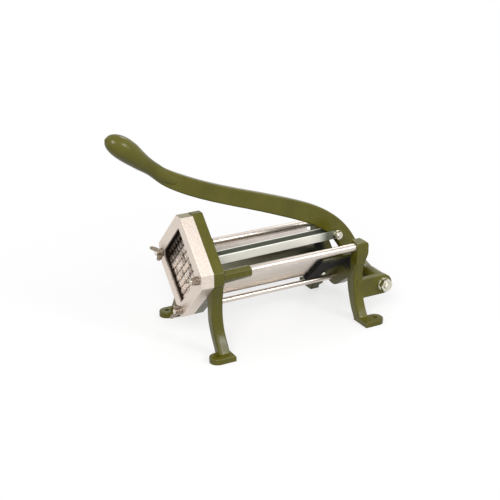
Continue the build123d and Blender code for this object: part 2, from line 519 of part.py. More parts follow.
def make_rear_frame():
    notch_top = CENTRE_HEIGHT - TROUGH_REACH + POST_INNER_Y
    arch_y, arch_z = POST_INNER_Y - ARCH_END_INSET, CROSSBAR_BOTTOM_Z + ARCH_RISE
    underside = Spline((0, CROSSBAR_BOTTOM_Z), (0.522 * arch_y, CROSSBAR_BOTTOM_Z + 0.424 * ARCH_RISE), (arch_y, arch_z),
                       tangents=[(1, 0), (0.75, 0.66)])
    arm = make_face([underside, Polyline((arch_y, arch_z), (POST_INNER_Y, arch_z), (POST_INNER_Y, notch_top),
                                         (0, CENTRE_HEIGHT - TROUGH_REACH), (0, CROSSBAR_BOTTOM_Z))])
    crossbar = prism(facing_x(REAR_FACE_X), arm, REAR_PLATE_DEPTH)

    stations = [(0.0, 0.963, 15.0), (-0.04, 0.813, 14.8), (-0.255, 0.628, 17.2), (-0.265, 0.462, 20.2),
                (-0.16, 0.332, 18.6), (0.0, 0.222, 18.4), (0.24, 0.111, 19.4), (0.43, 0.046, 20.0), (0.55, 0.0, 20.5)]
    rear_leg = leg(stations, REAR_FACE_X, REAR_PLATE_DEPTH)
    rear_foot = foot(REAR_HOLE_X, REAR_FACE_X, REAR_FOOT_SPREAD, REAR_PLATE_DEPTH)

    ear_z = PIVOT_Z - EAR_DROP
    ear_outline = Pos(PIVOT_X, ear_z) * Circle(EAR_RADIUS)
    ear_start = REAR_FACE_X + 4
    ear_outline += Pos((ear_start + PIVOT_X) / 2, ear_z) * Rectangle(PIVOT_X - ear_start, 2 * EAR_RADIUS)
    ear = prism(facing_y(EAR_OUTER_Y), ear_outline, EAR_THICKNESS)
    ear = fillet(ear.faces().filter_by(Axis.Y).edges(), 1.2)

    cradle_start = REAR_FACE_X - CRADLE_LENGTH
    cradle_section = v_section(CRADLE_REACH, TROUGH_REACH, CENTRE_HEIGHT - CRADLE_TOP_DROP)
    cradle = prism(facing_x(cradle_start), cradle_section, CRADLE_LENGTH + 1)
    flat_z = BOTTOM_ROD_Z + BOTTOM_ROD_D / 2 + CRADLE_ROD_GAP
    cradle -= prism(facing_x(cradle_start - 1), polygon((-40, 0), (40, 0), (40, flat_z), (-40, flat_z)), CRADLE_LENGTH + 2)

    sides = [crossbar, rear_leg, rear_foot, make_post(), ear]
    frame = fuse_all(cradle, [copy for piece in sides for copy in both_sides(piece)])
    passage_top = CENTRE_HEIGHT + POST_TOP_RISE + 5
    passage = polygon((0, CENTRE_HEIGHT - TROUGH_REACH), (POST_INNER_Y, notch_top), (POST_INNER_Y, passage_top),
                      (-POST_INNER_Y, passage_top), (-POST_INNER_Y, notch_top))
    rod_seat = rod_x(REAR_FACE_X - 1, REAR_FACE_X + ROD_SEAT_DEPTH, ROD_Y, CENTRE_HEIGHT, SIDE_ROD_D / 2)
    cutters = [prism(facing_x(cradle_start - 1), passage, CRADLE_LENGTH + POST_BOSS_DEPTH + 2),
               rod_x(REAR_FACE_X - 1, REAR_BACK_X + 1, 0, BOTTOM_ROD_Z, BOTTOM_ROD_D / 2),
               rod_y(-EAR_OUTER_Y - 1, EAR_OUTER_Y + 1, PIVOT_X, PIVOT_Z, PIVOT_BOLT_D / 2),
               rivet(1), rivet(-1), end_screw(1), end_screw(-1)]
    return cut_all(frame, cutters + both_sides(rod_seat) + both_sides(bench_hole(REAR_HOLE_X)))


# ---------------------------------------------------------------- pusher
def make_pusher_block():
    """Square plate on its corner with one finger for each cell of the grid."""
    reach = HALF_OPENING - PUSHER_CLEARANCE * sqrt(2)
    corner = reach - PUSHER_CORNER_CUT
    outline = square_on_corner(reach, PUSHER_SIDE_CUT, corner, corner)
    plate = prism(facing_x(PLATE_FRONT_X), outline, PUSHER_PLATE)
    width = CELL - BLADE_THICKNESS - 2 * FINGER_CLEARANCE
    tip_width = width - 2 * FINGER_TIP_INSET
    shank_length = FINGER_REACH - FINGER_TIP
    shank = prism(facing_x(-shank_length), Rectangle(width, width), shank_length)
    tip = loft([facing_x(-FINGER_REACH) * Rectangle(tip_width, tip_width), facing_x(-shank_length) * Rectangle(width, width)])
    finger = shank + tip
    middle = (CELLS - 1) / 2
    places = [Pos(PLATE_FRONT_X, 0, CENTRE_HEIGHT) * Rot(45, 0, 0) * Pos(0, (i - middle) * CELL, (j - middle) * CELL)
              for i in range(CELLS) for j in range(CELLS)]
    block = plate + [place * finger for place in places]
    block &= prism(facing_x(PLATE_FRONT_X - FINGER_REACH), outline, FINGER_REACH + PUSHER_PLATE)
    return block - flange_screws()


def flange_screws():
    """Four pan-head screws that fix the bracket to the block."""
    back = PLATE_BACK_X + FLANGE_THICKNESS
    screws = []
    for y in (-FLANGE_SCREW_Y, FLANGE_SCREW_Y):
        for z in (CENTRE_HEIGHT - FLANGE_SCREW_BELOW, CENTRE_HEIGHT + FLANGE_SCREW_ABOVE):
            head = rod_x(back, back + FLANGE_SCREW_HEAD_H, y, z, FLANGE_SCREW_HEAD_D / 2)
            head = fillet(head.faces().sort_by(Axis.X)[-1].edges(), 1.2)
            screws.append(head + rod_x(PLATE_BACK_X - FLANGE_SCREW_DEPTH, back, y, z, FLANGE_SCREW_D / 2))
    return screws


def make_pusher_bracket():
    """Flange with a lug whose upright slot takes the link pin."""
    height = FLANGE_ABOVE_PIN + FLANGE_BELOW_PIN
    middle_z = CENTRE_HEIGHT + (FLANGE_ABOVE_PIN - FLANGE_BELOW_PIN) / 2
    flange = Pos(PLATE_BACK_X + FLANGE_THICKNESS / 2, 0, middle_z) * Box(FLANGE_THICKNESS, FLANGE_WIDTH, height)
    flange = fillet(flange.edges().filter_by(Axis.X), 4.0)
    lug_x = PLATE_BACK_X + FLANGE_THICKNESS
    low, high = CENTRE_HEIGHT - LUG_BELOW_PIN, CENTRE_HEIGHT + LUG_ABOVE_PIN
    lug_outline = polygon((PLATE_BACK_X, low), (lug_x + LUG_LENGTH, low), (lug_x + LUG_LENGTH, high), (PLATE_BACK_X, high))
    lug_outline = fillet(lug_outline.vertices().sort_by(Axis.X)[-2:], 5.0)
    slot_low = CENTRE_HEIGHT - PIN_SLOT_DROP
    slot_high = CENTRE_HEIGHT + PIN_SLOT_RISE
    slot = Pos(LINK_PIN_X, (slot_low + slot_high) / 2) * Rectangle(2 * PIN_SLOT_HALF_WIDTH,
                                                                  slot_high - slot_low + LINK_PIN_D)
    slot = fillet(slot.vertices(), LINK_PIN_D / 2)
    bracket = flange + prism(facing_y(LUG_THICKNESS / 2), lug_outline, LUG_THICKNESS)
    bracket -= prism(facing_y(LUG_THICKNESS), slot, 2 * LUG_THICKNESS)
    return bracket - flange_screws()


# ---------------------------------------------------------------- lever
def lever_point(ahead, above):
    """Point of the lever's plane, given from the pivot towards the grip."""
    return PIVOT_X - ahead, PIVOT_Z + above


def line_directions(line):
    """Unit direction of a centre line at each of its points, from its neighbours."""
    directions = []
    for i in range(len(line)):
        before, after = line[max(i - 1, 0)], line[min(i + 1, len(line) - 1)]
        dx, dz = before[0] - after[0], after[1] - before[1]
        size = sqrt(dx * dx + dz * dz)
        directions.append((dx / size, dz / size))
    return directions


def make_lever_bar():
    """Flat curved bar from the pivot to the neck of the grip, with rounded edges."""
    back, front = [], []
    for (ahead, above, width), (dx, dz) in zip(LEVER_LINE, line_directions(LEVER_LINE)):
        x, z = lever_point(ahead, above)
        back.append((x + dz * width / 2, z - dx * width / 2))
        front.append((x - dz * width / 2, z + dx * width / 2))
    front.reverse()
    outline = make_face([Spline(*back), Line(back[-1], front[0]), Spline(*front), Line(front[-1], back[0])])
    bar = prism(facing_y(LEVER_THICKNESS / 2), outline, LEVER_THICKNESS)
    return fillet(bar.edges().filter_by(GeomType.BSPLINE), LEVER_FILLET)


def make_grip():
    """Round, bulbous grip, lofted through circles square to its centre line."""
    sections = []
    for (ahead, above, diameter), (dx, dz) in zip(GRIP_LINE, line_directions(GRIP_LINE)):
        x, z = lever_point(ahead, above)
        across = Plane(origin=(x, 0, z), x_dir=(0, 1, 0), z_dir=(dx, 0, dz))
        sections.append(across * Circle(diameter / 2))
    nib = extrude(across * Circle(NIB_D / 2), amount=NIB_LENGTH, both=True)
    nib = fillet(nib.edges().filter_by(GeomType.CIRCLE), 0.5)
    return loft(sections) + nib


def make_lever():
    hub_half = EAR_INNER_Y - HUB_SIDE_GAP
    hub = rod_y(-hub_half, hub_half, PIVOT_X, PIVOT_Z, HUB_RADIUS)
    hub = fillet(hub.edges().filter_by(GeomType.CIRCLE), 1.0)
    half_bar = LEVER_THICKNESS / 2
    shoulders = polygon((-YOKE_END_Y, PIVOT_Z + YOKE_END_RISE), (-half_bar, PIVOT_Z + YOKE_SHOULDER_RISE),
                        (half_bar, PIVOT_Z + YOKE_SHOULDER_RISE), (YOKE_END_Y, PIVOT_Z + YOKE_END_RISE),
                        (YOKE_END_Y, PIVOT_Z), (-YOKE_END_Y, PIVOT_Z))
    yoke = prism(facing_x(PIVOT_X - YOKE_DEPTH / 2), shoulders, YOKE_DEPTH)
    link_boss = rod_y(-half_bar, half_bar, LINK_BOLT_X, LINK_BOLT_Z, LINK_BOSS_RADIUS)
    lever = fuse_all(make_lever_bar(), [make_grip(), hub, yoke, link_boss])
    bushing_bores = both_sides(rod_y(hub_half - BUSHING_LENGTH, hub_half + 1, PIVOT_X, PIVOT_Z, BUSHING_OUTER_D / 2))
    relief = rod_y(-hub_half, hub_half, PIVOT_X, PIVOT_Z, PIVOT_BOLT_D / 2 + HUB_RELIEF)
    link_bore = rod_y(-half_bar - 1, half_bar + 1, LINK_BOLT_X, LINK_BOLT_Z, LINK_BOLT_D / 2 + RUNNING_CLEARANCE)
    return cut_all(lever, bushing_bores + [relief, link_bore])


def make_bushings():
    hub_half = EAR_INNER_Y - HUB_SIDE_GAP
    bushing = rod_y(hub_half - BUSHING_LENGTH, hub_half, PIVOT_X, PIVOT_Z, BUSHING_OUTER_D / 2)
    bushing -= rod_y(0, EAR_OUTER_Y, PIVOT_X, PIVOT_Z, PIVOT_BOLT_D / 2 + RUNNING_CLEARANCE)
    return both_sides(bushing)


# ---------------------------------------------------------------- linkage
def make_link_bar(side):
    """Flat bar with round ends, between the link pin and the link bolt."""
    run, rise = LINK_BOLT_X - LINK_PIN_X, LINK_BOLT_Z - CENTRE_HEIGHT
    middle = Pos((LINK_BOLT_X + LINK_PIN_X) / 2, (LINK_BOLT_Z + CENTRE_HEIGHT) / 2)
    outline = middle * Rot(0, 0, degrees(atan2(rise, run))) * SlotCenterToCenter(sqrt(run * run + rise * rise), LINK_BAR_HEIGHT)
    start = LINK_BAR_OUTER_Y if side > 0 else -LINK_BAR_INNER_Y
    bar = prism(facing_y(start), outline, LINK_BAR_THICKNESS)
    bar = fillet(bar.faces().filter_by(Axis.Y).edges(), 0.5)
    bar -= rod_y(-LINK_BAR_OUTER_Y - 1, LINK_BAR_OUTER_Y + 1, LINK_PIN_X, CENTRE_HEIGHT, LINK_PIN_D / 2)
    return bar - rod_y(-LINK_BAR_OUTER_Y - 1, LINK_BAR_OUTER_Y + 1, LINK_BOLT_X, LINK_BOLT_Z, LINK_BOLT_D / 2)


def make_link_pin():
    """Grooved pin through the pusher lug's slot and the front ends of the link bars."""
    half = LINK_BAR_OUTER_Y + CLIP_THICKNESS + LINK_PIN_PAST_CLIP
    pin = rod_y(-half, half, LINK_PIN_X, CENTRE_HEIGHT, LINK_PIN_D / 2)
    pin = chamfer(pin.faces().filter_by(Axis.Y).edges(), 0.5)
    return cut_all(pin, both_sides(clip_ring(LINK_PIN_D)))


def clip_ring(outer_radius):
    ring = rod_y(LINK_BAR_OUTER_Y, LINK_BAR_OUTER_Y + CLIP_THICKNESS, LINK_PIN_X, CENTRE_HEIGHT, outer_radius)
    return ring - rod_y(0, LINK_BAR_OUTER_Y + 3, LINK_PIN_X, CENTRE_HEIGHT, CLIP_GROOVE_RADIUS)


def make_clips():
    """Open retaining clips in the link pin's grooves."""
    gap = Pos(LINK_PIN_X, LINK_BAR_OUTER_Y, CENTRE_HEIGHT - CLIP_RADIUS) * Box(4.2, 4, 2 * CLIP_RADIUS - 2)
    return both_sides(clip_ring(CLIP_RADIUS) - gap)


def washer(y0, thickness, x, z, bolt_d, nut_af):
    """Washer whose lower-y face is at y0."""
    ring = rod_y(y0, y0 + thickness, x, z, nut_af / 2 + thickness)
    return ring - rod_y(y0 - 1, y0 + thickness + 1, x, z, bolt_d / 2)


def nut_y(y0, x, z, bolt_d, nut_af, height):
    """Nut along Y with chamfered corners, its lower-y face at y0."""
    body = prism(facing_y(y0 + height), Pos(x, z) * hexagon(nut_af), height)
    body &= cone_ended(y0, x, z, nut_af, height)
    return body - rod_y(y0 - 1, y0 + height + 1, x, z, bolt_d / 2)


def cone_ended(y0, x, z, nut_af, height):
    """Chamfered round bar that trims a hexagon's corners."""
    bar = rod_y(y0, y0 + height, x, z, nut_af / sqrt(3) + 0.1)
    return chamfer(bar.faces().filter_by(Axis.Y).edges(), 0.9)


def make_bolt_y(y_nut_end, y_head_seat, x, z, bolt_d, head_af, head_h):
    """Hexagon-head bolt along Y, with its head on the far side."""
    head = prism(facing_y(y_head_seat + head_h), Pos(x, z) * hexagon(head_af), head_h)
    head &= cone_ended(y_head_seat, x, z, head_af, head_h)
    shank = rod_y(y_nut_end, y_head_seat, x, z, bolt_d / 2)
    shank = chamfer(shank.faces().sort_by(Axis.Y)[0].edges(), 0.8)
    return head + shank


# ---------------------------------------------------------------- wing nuts
def make_wing_nut(y, z, turn):
    """Wing nut on a stud, its wings sloping forward."""
    hub = Cone(WING_HUB_RADIUS, WING_HUB_TOP_RADIUS, WING_HUB_HEIGHT, align=(Align.CENTER, Align.CENTER, Align.MIN))
    outline = polygon(*WING_OUTLINE)
    outline = fillet(outline.vertices().sort_by(Axis.X)[-3:], WING_TIP_ROUND)
    wing = prism(facing_y(WING_THICKNESS / 2), outline, WING_THICKNESS)
    wing = fillet(wing.faces().filter_by(Axis.Y).edges(), 0.7)
    nut = hub + wing + mirror(wing, about=Plane.YZ)
    nut -= Cylinder(STUD_D / 2 + RUNNING_CLEARANCE, 6 * WING_HUB_HEIGHT)
    angle = radians(turn)
    seat = Plane(origin=(BLADE_FACE_X - WING_SEAT_GAP, y, z), x_dir=(0, cos(angle), sin(angle)), z_dir=(-1, 0, 0))
    return seat * nut


# ---------------------------------------------------------------- assembly
def build():
    trough = make_trough()
    keep("front_frame", make_front_frame(trough), GREEN)
    keep("rear_frame", make_rear_frame(), GREEN)
    keep("feed_trough", trough, STEEL)
    keep("trough_rivets", Compound([rivet(1), rivet(-1)]), ZINC)
    keep("blade_frame", make_blade_frame(), SILVER)
    keep("blades_front", Compound(blade_set(FRONT_LAYER_X, BLADE_DEPTH, 45)), STEEL)
    keep("blades_rear", Compound(blade_set(REAR_LAYER_X, BLADE_DEPTH, -45)), STEEL)

    keep("tie_rod_near", make_side_rod(-1), STEEL)
    keep("tie_rod_far", make_side_rod(1), STEEL)
    keep("tie_rod_bottom", make_bottom_rod(), STEEL)
    keep("rod_end_screws", Compound([end_screw(1), end_screw(-1)]), ZINC)
    rod_washer = rod_x(REAR_BACK_X, REAR_BACK_X + WASHER_THICKNESS, 0, BOTTOM_ROD_Z, ROD_NUT_AF / 2 + WASHER_THICKNESS)
    rod_bore = rod_x(REAR_BACK_X - 1, REAR_BACK_X + WASHER_THICKNESS + ROD_NUT_H + 1, 0, BOTTOM_ROD_Z, BOTTOM_ROD_D / 2)
    keep("rod_washer", rod_washer - rod_bore, ZINC)
    rod_nut = prism(facing_x(REAR_BACK_X + WASHER_THICKNESS), Pos(0, BOTTOM_ROD_Z) * hexagon(ROD_NUT_AF), ROD_NUT_H)
    keep("rod_nut", rod_nut - rod_bore, ZINC)

    keep("pusher_block", make_pusher_block(), SILVER)
    keep("pusher_bracket", make_pusher_bracket(), STEEL)
    keep("pusher_screws", Compound(flange_screws()), ZINC)

    keep("lever", make_lever(), GREEN)
    keep("pivot_bushings", Compound(make_bushings()), BRONZE)
    washer_far = EAR_OUTER_Y
    head_seat = washer_far + WASHER_THICKNESS
    nut_face = -head_seat - PIVOT_NUT_H
    keep("pivot_bolt", make_bolt_y(nut_face - PIVOT_BOLT_END, head_seat, PIVOT_X, PIVOT_Z, PIVOT_BOLT_D, PIVOT_NUT_AF,
                                   PIVOT_NUT_H - 1.5), ZINC)
    keep("pivot_nut", nut_y(nut_face, PIVOT_X, PIVOT_Z, PIVOT_BOLT_D, PIVOT_NUT_AF, PIVOT_NUT_H), ZINC)
    keep("pivot_washers", Compound([washer(y, WASHER_THICKNESS, PIVOT_X, PIVOT_Z, PIVOT_BOLT_D, PIVOT_NUT_AF)
                                    for y in (washer_far, -head_seat)]), ZINC)

    keep("link_bar_near", make_link_bar(-1), STEEL)
    keep("link_bar_far", make_link_bar(1), STEEL)
    keep("link_pin", make_link_pin(), ZINC)
    keep("link_pin_clips", Compound(make_clips()), STEEL)
    link_seat = LINK_BAR_OUTER_Y + LINK_WASHER_THICKNESS
    link_nut_face = -link_seat - LINK_NUT_H
    keep("link_bolt", make_bolt_y(link_nut_face - LINK_BOLT_END, link_seat, LINK_BOLT_X, LINK_BOLT_Z, LINK_BOLT_D,
                                  LINK_NUT_AF, LINK_NUT_H - 1.2), ZINC)
    keep("link_nut", nut_y(link_nut_face, LINK_BOLT_X, LINK_BOLT_Z, LINK_BOLT_D, LINK_NUT_AF, LINK_NUT_H), ZINC)
    keep("link_washers", Compound([washer(y, LINK_WASHER_THICKNESS, LINK_BOLT_X, LINK_BOLT_Z, LINK_BOLT_D, LINK_NUT_AF)
                                   for y in (LINK_BAR_OUTER_Y, -link_seat)]), ZINC)

    keep("wing_nut_near", make_wing_nut(-ROD_Y, CENTRE_HEIGHT, WING_TURN["near"]), ZINC)
    keep("wing_nut_far", make_wing_nut(ROD_Y, CENTRE_HEIGHT, WING_TURN["far"]), ZINC)
    keep("wing_nut_bottom", make_wing_nut(0, BOTTOM_ROD_Z, WING_TURN["bottom"]), ZINC)


build()
os.makedirs("parts", exist_ok=True)
for node, solid in parts.items():
    export_step(solid, "parts/" + node + ".step")
print(len(parts), "nodes written")
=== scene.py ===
"""Looks of the lever-operated french fry cutter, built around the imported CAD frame.

Metres, +Z up, with the blade grid at -X and the lever's pivot at +X.
"""
import json
import math

import bmesh
import bpy
from mathutils import Matrix, Vector


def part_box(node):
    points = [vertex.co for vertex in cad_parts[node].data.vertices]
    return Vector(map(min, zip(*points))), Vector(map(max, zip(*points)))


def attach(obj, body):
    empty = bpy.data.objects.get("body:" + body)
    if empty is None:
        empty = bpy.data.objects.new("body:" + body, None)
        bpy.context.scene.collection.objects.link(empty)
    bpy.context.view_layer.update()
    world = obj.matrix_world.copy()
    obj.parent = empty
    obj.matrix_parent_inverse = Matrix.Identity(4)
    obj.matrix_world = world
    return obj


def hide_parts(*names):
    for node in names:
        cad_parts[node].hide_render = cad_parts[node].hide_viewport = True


MM = 0.001

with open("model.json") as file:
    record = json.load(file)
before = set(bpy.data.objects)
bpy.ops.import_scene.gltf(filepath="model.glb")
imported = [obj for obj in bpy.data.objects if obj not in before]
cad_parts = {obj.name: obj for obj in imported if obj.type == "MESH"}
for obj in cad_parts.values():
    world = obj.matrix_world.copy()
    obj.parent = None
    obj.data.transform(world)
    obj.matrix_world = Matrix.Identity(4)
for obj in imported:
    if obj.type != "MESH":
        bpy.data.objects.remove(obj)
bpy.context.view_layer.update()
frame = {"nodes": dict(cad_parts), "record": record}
nodes = frame["nodes"]


# ---------------------------------------------------------------- node trees
NOISE_LOW, NOISE_HIGH = 0.3, 0.7    # nearly all of a noise texture's values lie between these
MIX_FACTOR, MIX_A, MIX_B, MIX_RESULT = 0, 6, 7, 2    # colour sockets of the Mix node


def srgb(r, g, b):
    """Scene-linear colour from 8-bit display values."""
    def channel(v):
        v /= 255
        return v / 12.92 if v <= 0.04045 else ((v + 0.055) / 1.055) ** 2.4
    return channel(r), channel(g), channel(b), 1.0


class Tree:
    """Short notation for the node tree of a material or a world."""

    def __init__(self, owner, output_kind):
        owner.use_nodes = True
        self.nodes = owner.node_tree.nodes
        self.links = owner.node_tree.links
        self.nodes.clear()
        self.surface = self.add(output_kind).inputs["Surface"]

    def add(self, kind, **props):
        node = self.nodes.new(kind)
        for key, value in props.items():
            setattr(node, key, value)
        return node

    def feed(self, value, socket):
        """Links an output to an input socket, or sets a plain value on it."""
        if isinstance(value, bpy.types.NodeSocket):
            self.links.new(value, socket)
        else:
            socket.default_value = value

    def coordinates(self, output):
        return self.add("ShaderNodeTexCoord").outputs[output]

    def axes(self, vector):
        split = self.add("ShaderNodeSeparateXYZ")
        self.feed(vector, split.inputs[0])
        return split.outputs

    def math(self, operation, first, second=0.0):
        node = self.add("ShaderNodeMath", operation=operation)
        self.feed(first, node.inputs[0])
        self.feed(second, node.inputs[1])
        return node.outputs[0]

    def span(self, value, low, high, start=NOISE_LOW, end=NOISE_HIGH, **props):
        """Goes from low to high while the value goes from start to end."""
        node = self.add("ShaderNodeMapRange", **props)
        self.feed(value, node.inputs["Value"])
        limits = {"From Min": start, "From Max": end, "To Min": low, "To Max": high}
        for key, number in limits.items():
            node.inputs[key].default_value = number
        return node.outputs["Result"]

    def rises(self, value, edge, origin=0.0, top=1.0):
        """0 before a soft edge, top after it.  The edge is in mm, counted from the origin."""
        start, end = (origin + place * MM for place in edge)
        return self.span(value, 0.0, top, start, end)

    def falls(self, value, edge, origin=0.0):
        """1 before a soft edge, 0 after it."""
        start, end = (origin + place * MM for place in edge)
        return self.span(value, 1.0, 0.0, start, end)

    def plain_shader(self, kind, colour):
        node = self.add(kind)
        self.feed(colour, node.inputs["Color"])
        return node.outputs[0]

    def mix_shaders(self, factor, first, second):
        node = self.add("ShaderNodeMixShader")
        for value, socket in zip((factor, first, second), node.inputs):
            self.feed(value, socket)
        return node.outputs[0]

    def seen_or_mirrored(self):
        """1 for rays from the camera, mirrors and glass, 0 for light that reaches matt surfaces."""
        path = self.add("ShaderNodeLightPath").outputs
        total = path["Is Camera Ray"]
        for kind in ("Is Glossy Ray", "Is Transmission Ray"):
            total = self.math("MAXIMUM", total, path[kind])
        return total


class Finish(Tree):
    """Material with one principled shader, whose textures follow the object's coordinates."""

    def __init__(self, name, **sockets):
        self.material = bpy.data.materials.new(name)
        super().__init__(self.material, "ShaderNodeOutputMaterial")
        self.shader = self.add("ShaderNodeBsdfPrincipled")
        self.feed(self.shader.outputs["BSDF"], self.surface)
        for key, value in sockets.items():
            self.set(key.replace("_", " "), value)
        self.place = self.coordinates("Object")

    def set(self, socket, value):
        self.feed(value, self.shader.inputs[socket])

    def colour(self):
        """The output that the base colour comes from so far."""
        return self.shader.inputs["Base Color"].links[0].from_socket

    def noise(self, scale, detail=3.0, rough=0.5, stretch=(1, 1, 1)):
        vector = self.place
        if stretch != (1, 1, 1):
            mapping = self.add("ShaderNodeMapping")
            mapping.inputs["Scale"].default_value = stretch
            self.feed(self.place, mapping.inputs["Vector"])
            vector = mapping.outputs["Vector"]
        node = self.add("ShaderNodeTexNoise")
        inputs = {"Vector": vector, "Scale": scale, "Detail": detail, "Roughness": rough}
        for key, value in inputs.items():
            self.feed(value, node.inputs[key])
        return node.outputs["Fac"]

    def ramp(self, value, *stops):
        node = self.add("ShaderNodeValToRGB")
        self.feed(value, node.inputs["Fac"])
        elements = node.color_ramp.elements
        while len(elements) < len(stops):
            elements.new(0.5)
        for element, (place, colour) in zip(elements, stops):
            element.position = place
            element.color = colour
        return node.outputs["Color"]

    def mottle(self, scale, dark, light):
        """Base colour that wanders between two display colours."""
        stops = (NOISE_LOW, srgb(*dark)), (NOISE_HIGH, srgb(*light))
        self.set("Base Color", self.ramp(self.noise(scale=scale), *stops))

    def blend(self, factor, first, second):
        """The first colour where the factor is 0, the second where it is 1."""
        node = self.add("ShaderNodeMix", data_type="RGBA")
        for index, value in ((MIX_FACTOR, factor), (MIX_A, first), (MIX_B, second)):
            self.feed(value, node.inputs[index])
        return node.outputs[MIX_RESULT]

    def bump(self, *layers):
        """Stacks (height, strength, distance in mm) bumps into the shader's normal."""
        normal = None
        for height, strength, distance in layers:
            node = self.add("ShaderNodeBump")
            node.inputs["Strength"].default_value = strength
            node.inputs["Distance"].default_value = distance * MM
            self.feed(height, node.inputs["Height"])
            if normal is not None:
                self.feed(normal, node.inputs["Normal"])
            normal = node.outputs["Normal"]
        self.set("Normal", normal)


# ---------------------------------------------------------------- materials
# Colours are display values.  The edges of painted shade, painted reflections and other marks are
# pairs in mm, where each starts and ends.
ENAMEL = ((0.28, srgb(80, 77, 16)), (0.5, srgb(89, 85, 20)), (0.72, srgb(97, 93, 27)))
# Painted shade: near-black colour on the cradle and crossbar under the trough's rear end, where
# shadow falls; the enamel is rougher there.
UNDER_TROUGH_SHADE = srgb(12, 10, 5)
UNDER_TROUGH_ROUGHNESS = 0.6                 # added to the enamel's own
SHADE_WANDER = 36 * MM                # how far the painted shade's outline is spread by noise
RIVETS_TO_REAR_FACE = 19 * MM       # from the rivets to the rear casting's front face
SHADE_FRONT, SHADE_REAR = (-68, -52), (0, 7)            # along X, from that face
SHADE_TOP, SHADE_SIDE = (88, 103), (44, 50)
# Share of the painted shade taken off again low down near the rear casting, so the enamel shows
# there.
LIFT_FRONT, LIFT_TOP, SHADE_LIFTED = (-24, -12), (63, 72), 0.8


def olive_enamel():
    """Thick glossy enamel on rough castings, with near-black painted shade under the trough's rear
    end, where shadow falls.
    """
    t = Finish("olive_enamel", IOR=1.5, Specular_IOR_Level=0.3)
    x, y, z = t.axes(t.place)
    outline = t.noise(scale=45, detail=4, rough=0.6)
    wander = t.math("MULTIPLY", t.math("SUBTRACT", outline, 0.5), SHADE_WANDER)
    x, z = t.math("ADD", x, wander), t.math("ADD", z, wander)
    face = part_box("trough_rivets")[1][0] + RIVETS_TO_REAR_FACE
    along = t.math("MULTIPLY", t.rises(x, SHADE_FRONT, face), t.falls(x, SHADE_REAR, face))
    across = t.math("MULTIPLY", t.falls(z, SHADE_TOP), t.falls(t.math("ABSOLUTE", y), SHADE_SIDE))
    lifted = t.math("MULTIPLY", t.rises(x, LIFT_FRONT, face, SHADE_LIFTED), t.falls(z, LIFT_TOP))
    # Painted shade under the trough's rear end.
    painted_shade = t.math("MULTIPLY", t.math("MULTIPLY", along, across), t.math("SUBTRACT", 1.0, lifted))
    t.set("Base Color", t.blend(painted_shade, t.ramp(t.noise(scale=26), *ENAMEL), UNDER_TROUGH_SHADE))
    t.set("Roughness", t.math("ADD", t.span(t.noise(scale=110), 0.2, 0.32),
                              t.math("MULTIPLY", painted_shade, UNDER_TROUGH_ROUGHNESS)))
    t.bump((t.noise(scale=95), 0.35, 0.6), (t.noise(scale=560, detail=2), 0.18, 0.14))
    return t


def cast_metal(name, dark, light, roughness, grain):
    """Cast metal with a fine sparkling grain."""
    t = Finish(name, Metallic=1.0)
    t.mottle(700, dark, light)
    t.set("Roughness", t.span(t.noise(scale=330, detail=4), *roughness))
    t.bump((t.noise(scale=120), 0.2, 0.3), (t.noise(scale=900, detail=2), grain, 0.1))
    return t


def drawn_metal(name, dark, light, roughness, along_x=0.05, scale=300):
    """Rolled or drawn metal with its grain along X."""
    t = Finish(name, Metallic=1.0)
    grain = t.noise(scale=scale, detail=4, rough=0.6, stretch=(along_x, 1, 1))
    t.mottle(40, dark, light)
    t.set("Roughness", t.span(grain, *roughness))
    t.bump((grain, 0.06, 0.03))
    return t


BAR_METALLIC = 0.35
# Painted shade tinted by the reflected green lever on the bars' inner faces, and a painted dark
# reflection on their rear ends.
BAR_INNER_SHADE, BAR_REAR_REFLECTION = srgb(112, 116, 102), srgb(112, 116, 100)
INNER_SHADE_EDGE = (0.2, 1.05)           # from the bar's inner face into its thickness
REAR_REFLECTION_EDGE = (-22, -10)           # along X, from the link bolt


def link_bar_metal():
    """Satin flat bar, with painted green shade on the faces beside the lever and a painted dark
    reflection at its rear end by the link bolt.
    """
    t = drawn_metal("link_bar_metal", (240, 240, 230), (250, 250, 241), (0.32, 0.44))
    t.set("Metallic", BAR_METALLIC)
    x, y, _ = t.axes(t.place)
    inner_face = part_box("link_bar_far")[0][1]
    inner_shade = t.falls(t.math("ABSOLUTE", y), INNER_SHADE_EDGE, inner_face)
    rear_reflection = t.rises(x, REAR_REFLECTION_EDGE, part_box("link_bolt")[0][0])
    t.set("Base Color", t.blend(inner_shade, t.blend(rear_reflection, t.colour(), BAR_REAR_REFLECTION), BAR_INNER_SHADE))
    return t


# Painted reflection of the green parts on the lower inner walls, darker towards the rear with
# painted shade.
INNER_REFLECTION_FRONT, INNER_REFLECTION_REAR = srgb(140, 138, 118), srgb(48, 48, 38)
INNER_REFLECTION_EDGE = (29, 38)                # above the fold, as are the next two
# Painted shade on the lower outer walls, darker still just outside the fold's crease.
OUTER_SHADE, OUTER_SHADE_EDGE = srgb(192, 181, 168), (30, 45)
FOLD_SHADE, FOLD_SHADE_EDGE = srgb(140, 130, 118), (4, 8)
TROUGH_WANDER = 2 * MM              # how far noise moves these edges
INNER_SIDE = (-0.1, 0.1)            # upward part of the normal, from the outer to the inner side


